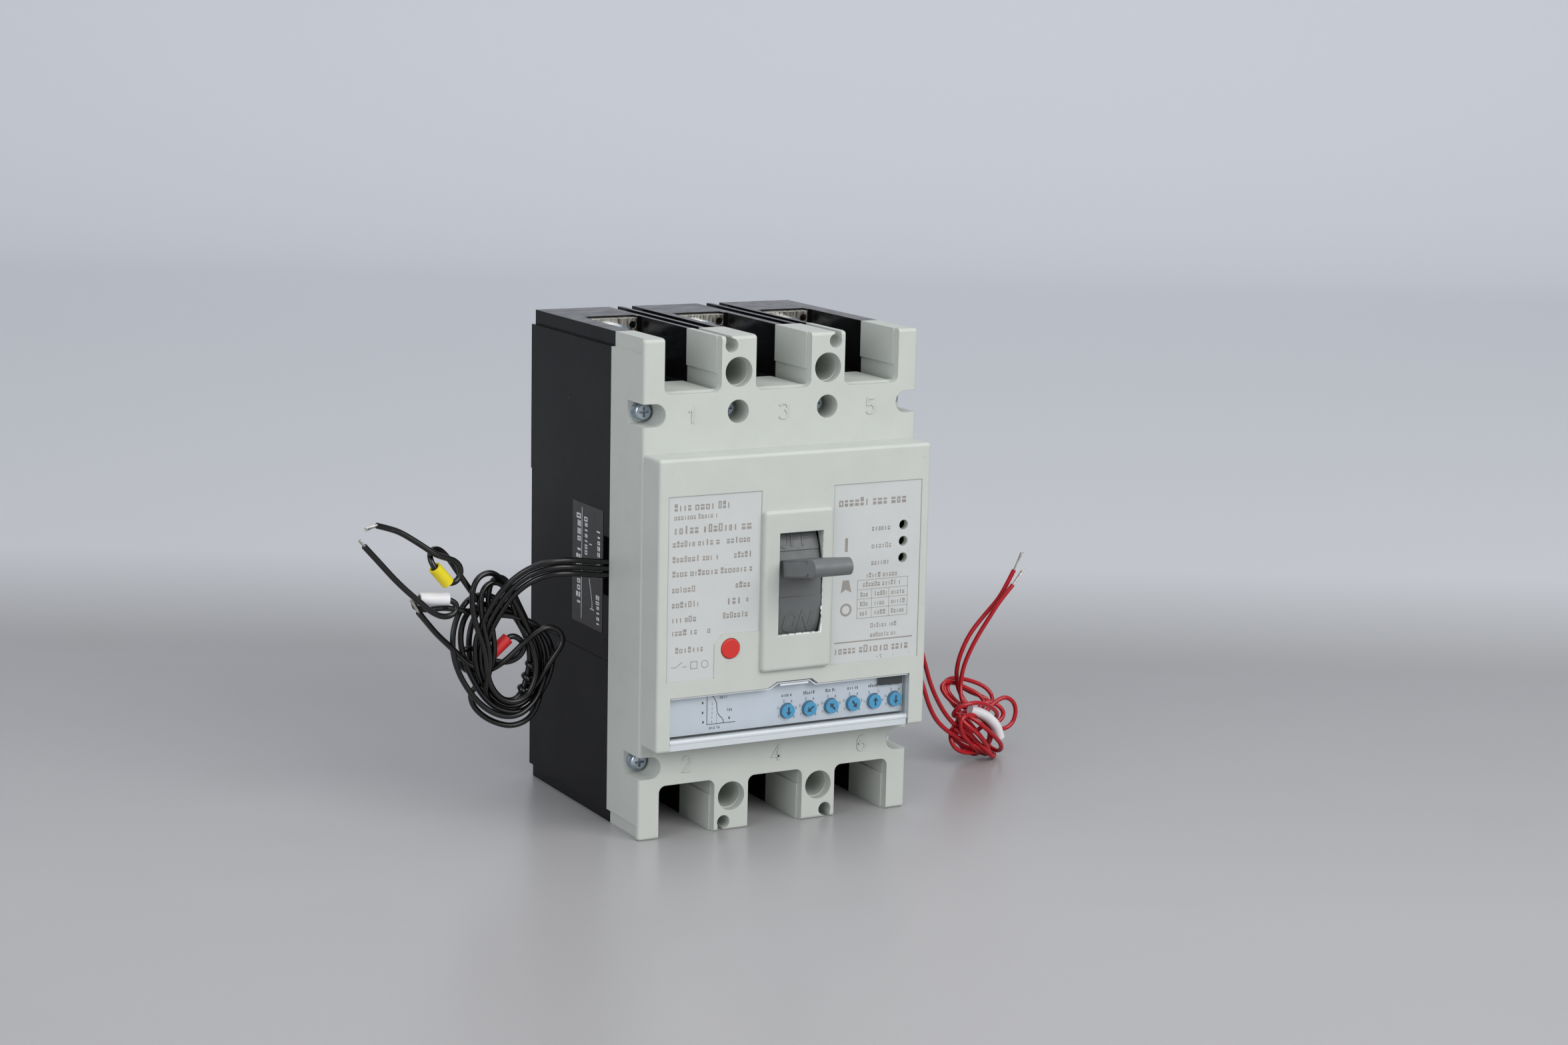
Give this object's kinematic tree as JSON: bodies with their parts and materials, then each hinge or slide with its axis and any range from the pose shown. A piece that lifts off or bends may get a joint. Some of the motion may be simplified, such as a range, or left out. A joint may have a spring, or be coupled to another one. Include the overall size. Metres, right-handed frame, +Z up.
{
  "type": "moulded case circuit breaker",
  "caption": "Moulded case circuit breaker with toggle handle, trip unit dials under a clear flip cover, push-to-trip button, screw terminals and loose control wires.",
  "frame": {"origin": "centre of the mounting hole pattern, on the back face", "axes": "+X to the right seen from the front, +Y into the mounting panel, +Z up towards the line terminals"},
  "size_m": [0.2428, 0.1124, 0.15],
  "materials": {
    "case_black": "moulded, slight gloss",
    "cover_grey": "moulded, fine satin",
    "insulation_board": "pressed board",
    "nickel": "nickel plated copper",
    "zinc": "bright zinc plate",
    "fibre": "vulcanised fibre",
    "steel": "zinc plated",
    "copper": "bare copper",
    "handle_grey": "moulded, satin",
    "spring_steel": "oiled",
    "button_red": "moulded",
    "transformer_resin": "cast resin",
    "board_green": "solder mask",
    "led_lens": "clear epoxy",
    "panel_silver": "silver film print",
    "clear_plastic": "clear polycarbonate",
    "label_film": "printed film",
    "wire_black": "insulated lead",
    "wire_red": "insulated lead",
    "tinned_copper": "stranded",
    "sleeve_yellow": "soft marker tube",
    "sleeve_white": "soft marker tube",
    "sleeve_red": "soft marker tube",
    "dial_blue": "moulded"
  },
  "bodies": {
    "case": {"arc_chute_frames": "fibre", "arc_splitter_plates": "steel", "aux_coil": "wire_black", "aux_strands": "tinned_copper", "aux_wire_1": "wire_black", "aux_wire_2": "wire_black", "aux_wire_3": "wire_black", "auxiliary_switch": "case_black", "base": "case_black", "button_guide": "case_black", "button_spring": "spring_steel", "circuit_boards": "board_green", "cover_screws": "zinc", "current_transformers": "transformer_resin", "dial_panel": "panel_silver", "dial_switch_bodies": "case_black", "flexible_braids": "copper", "flux_release": "case_black", "front_cover": "cover_grey", "indicator_leds": "led_lens", "line_terminals": "nickel", "load_terminals": "nickel", "marker_sleeve_red": "sleeve_red", "marker_sleeve_white": "sleeve_white", "marker_sleeve_yellow": "sleeve_yellow", "mechanism_pins": "steel", "mechanism_plates": "steel", "rear_insulation_plate": "insulation_board", "shunt_bundle": "wire_red", "shunt_release": "case_black", "shunt_sleeve": "sleeve_white", "shunt_strands": "tinned_copper", "shunt_wire_1": "wire_red", "shunt_wire_2": "wire_red", "terminal_nuts": "zinc", "terminal_screws": "zinc", "test_port": "case_black", "wiring_label": "label_film"},
    "handle": {"handle": "handle_grey", "handle_yoke": "steel", "main_springs": "spring_steel"},
    "contact_shaft": {"contact_shaft": "case_black", "crank_pins": "steel", "moving_contact_1": "copper", "moving_contact_2": "copper", "moving_contact_3": "copper"},
    "lower_links": {"lower_links": "steel", "toggle_pin": "steel"},
    "upper_links": {"upper_links": "steel"},
    "latch_cradle": {"latch_cradle": "steel"},
    "trip_bar": {"trip_bar": "case_black"},
    "push_to_trip_button": {"push_to_trip_button": "button_red"},
    "flux_plunger": {"flux_plunger": "steel"},
    "flip_cover": {"flip_cover": "clear_plastic"},
    "dial_1": {"dial_1": "dial_blue"},
    "dial_2": {"dial_2": "dial_blue"},
    "dial_3": {"dial_3": "dial_blue"},
    "dial_4": {"dial_4": "dial_blue"},
    "dial_5": {"dial_5": "dial_blue"},
    "dial_6": {"dial_6": "dial_blue"}
  },
  "joints": [
    {"name": "handle_tilt", "type": "hinge", "parent": "case", "child": "handle", "pos_m": [0, -0.057, 0], "axis": [-1, 0, 0], "range_deg": [-26, 9.5], "deforming": ["main_springs"]},
    {"name": "contact_shaft_turn", "type": "hinge", "parent": "case", "child": "contact_shaft", "pos_m": [0, -0.027, -0.004], "axis": [-1, 0, 0], "range_deg": [0, 26], "deforming": ["flexible_braids"]},
    {"name": "lower_links_turn", "type": "hinge", "parent": "contact_shaft", "child": "lower_links", "pos_m": [0, -0.0356, 0.0043], "axis": [1, 0, 0], "range_deg": [0, 8]},
    {"name": "upper_links_turn", "type": "hinge", "parent": "case", "child": "upper_links", "pos_m": [0, -0.052, 0.008], "axis": [1, 0, 0], "range_deg": [0, 40.5]},
    {"name": "latch_cradle_turn", "type": "hinge", "parent": "case", "child": "latch_cradle", "pos_m": [0, -0.056, 0.016], "axis": [1, 0, 0], "range_deg": [-6, 0]},
    {"name": "push_to_trip_press", "type": "slide", "parent": "case", "child": "push_to_trip_button", "axis": [0, 1, 0], "range_m": [0, 0.0025], "stiffness_N_per_m": 800, "deforming": ["button_spring"]},
    {"name": "trip_bar_turn", "type": "hinge", "parent": "case", "child": "trip_bar", "pos_m": [0, -0.047, -0.023], "axis": [-1, 0, 0], "range_deg": [0, 24.5]},
    {"name": "flux_plunger_slide", "type": "slide", "parent": "case", "child": "flux_plunger", "axis": [0, 1, 0], "range_m": [0, 0.0022], "stiffness_N_per_m": 800},
    {"name": "flip_cover_open", "type": "hinge", "parent": "case", "child": "flip_cover", "pos_m": [0, -0.0893, -0.0431], "axis": [1, 0, 0], "range_deg": [0, 110]},
    {"name": "dial_1_turn", "type": "hinge", "parent": "case", "child": "dial_1", "pos_m": [-0.00029, -0.086, -0.03785], "axis": [0, -1, 0], "continuous": true},
    {"name": "dial_2_turn", "type": "hinge", "parent": "case", "child": "dial_2", "pos_m": [0.00723, -0.086, -0.03785], "axis": [0, -1, 0], "continuous": true},
    {"name": "dial_3_turn", "type": "hinge", "parent": "case", "child": "dial_3", "pos_m": [0.01484, -0.086, -0.03785], "axis": [0, -1, 0], "continuous": true},
    {"name": "dial_4_turn", "type": "hinge", "parent": "case", "child": "dial_4", "pos_m": [0.02245, -0.086, -0.03785], "axis": [0, -1, 0], "continuous": true},
    {"name": "dial_5_turn", "type": "hinge", "parent": "case", "child": "dial_5", "pos_m": [0.02985, -0.086, -0.03785], "axis": [0, -1, 0], "continuous": true},
    {"name": "dial_6_turn", "type": "hinge", "parent": "case", "child": "dial_6", "pos_m": [0.03705, -0.086, -0.03785], "axis": [0, -1, 0], "continuous": true}
  ],
  "couplings": [
    {"joint": "lower_links_turn", "follows": "contact_shaft_turn", "ratio": 0.292},
    {"joint": "upper_links_turn", "follows": "contact_shaft_turn", "ratio": 1.538},
    {"joint": "trip_bar_turn", "follows": "push_to_trip_press", "rad_per_m": 167.55}
  ]
}
